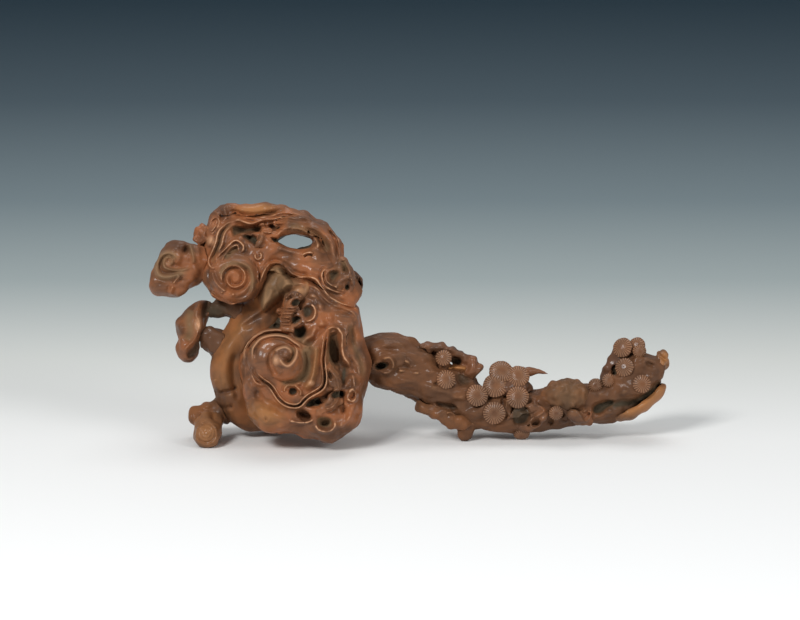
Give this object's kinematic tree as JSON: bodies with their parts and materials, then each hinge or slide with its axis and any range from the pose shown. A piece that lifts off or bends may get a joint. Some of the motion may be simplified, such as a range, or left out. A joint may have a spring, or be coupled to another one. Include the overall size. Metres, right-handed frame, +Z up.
{
  "type": "ruyi scepter",
  "caption": "Carved wooden ruyi scepter: a head of scrolled lingzhi fungus caps on a gnarled pine-branch handle with needle rosettes, made to be held or laid on a table.",
  "frame": {"origin": "centre of the bounding box at the table", "axes": "+X along the handle towards its tip, +Y to the back of the carved face, +Z up"},
  "size_m": [0.259, 0.0708, 0.1163],
  "materials": {
    "stem_wood": "worn satin",
    "cap_wood": "polished",
    "twig_wood": "satin",
    "needle_wood": "satin",
    "end_wood": "worn"
  },
  "bodies": {
    "root": {"arch_roll": "cap_wood", "burl": "stem_wood", "crest_knob": "cap_wood", "curled_leaf": "twig_wood", "foot_lower": "end_wood", "foot_upper": "stem_wood", "handle_branch": "stem_wood", "heel_knot": "stem_wood", "hollow_twig": "twig_wood", "hook_stem": "stem_wood", "loop_twig": "twig_wood", "lower_cap": "cap_wood", "middle_twig": "twig_wood", "root_strand": "twig_wood", "rosette_01": "needle_wood", "rosette_02": "needle_wood", "rosette_03": "needle_wood", "rosette_04": "needle_wood", "rosette_05": "needle_wood", "rosette_06": "needle_wood", "rosette_07": "needle_wood", "rosette_08": "needle_wood", "rosette_09": "needle_wood", "rosette_10": "needle_wood", "rosette_11": "needle_wood", "rosette_12": "needle_wood", "rosette_13": "needle_wood", "rosette_14": "needle_wood", "rosette_15": "needle_wood", "rosette_16": "needle_wood", "rosette_17": "needle_wood", "rosette_18": "needle_wood", "rosette_19": "needle_wood", "rosette_20": "needle_wood", "rosette_21": "needle_wood", "rosette_22": "needle_wood", "ruffled_leaf": "twig_wood", "side_fin": "twig_wood", "side_fungus": "cap_wood", "side_leaf": "twig_wood", "small_fungus": "cap_wood", "small_stalk": "stem_wood", "snag": "stem_wood", "snag_knot": "stem_wood", "spike_leaf": "twig_wood", "spiral_boss": "cap_wood", "tip_bark": "end_wood", "tip_knob": "end_wood", "tip_twig": "twig_wood", "tongue_scroll": "cap_wood", "upper_cap": "cap_wood", "upper_crest": "cap_wood", "upper_scroll": "cap_wood", "upper_stalk": "stem_wood", "window_twig": "twig_wood"}
  },
  "joints": []
}
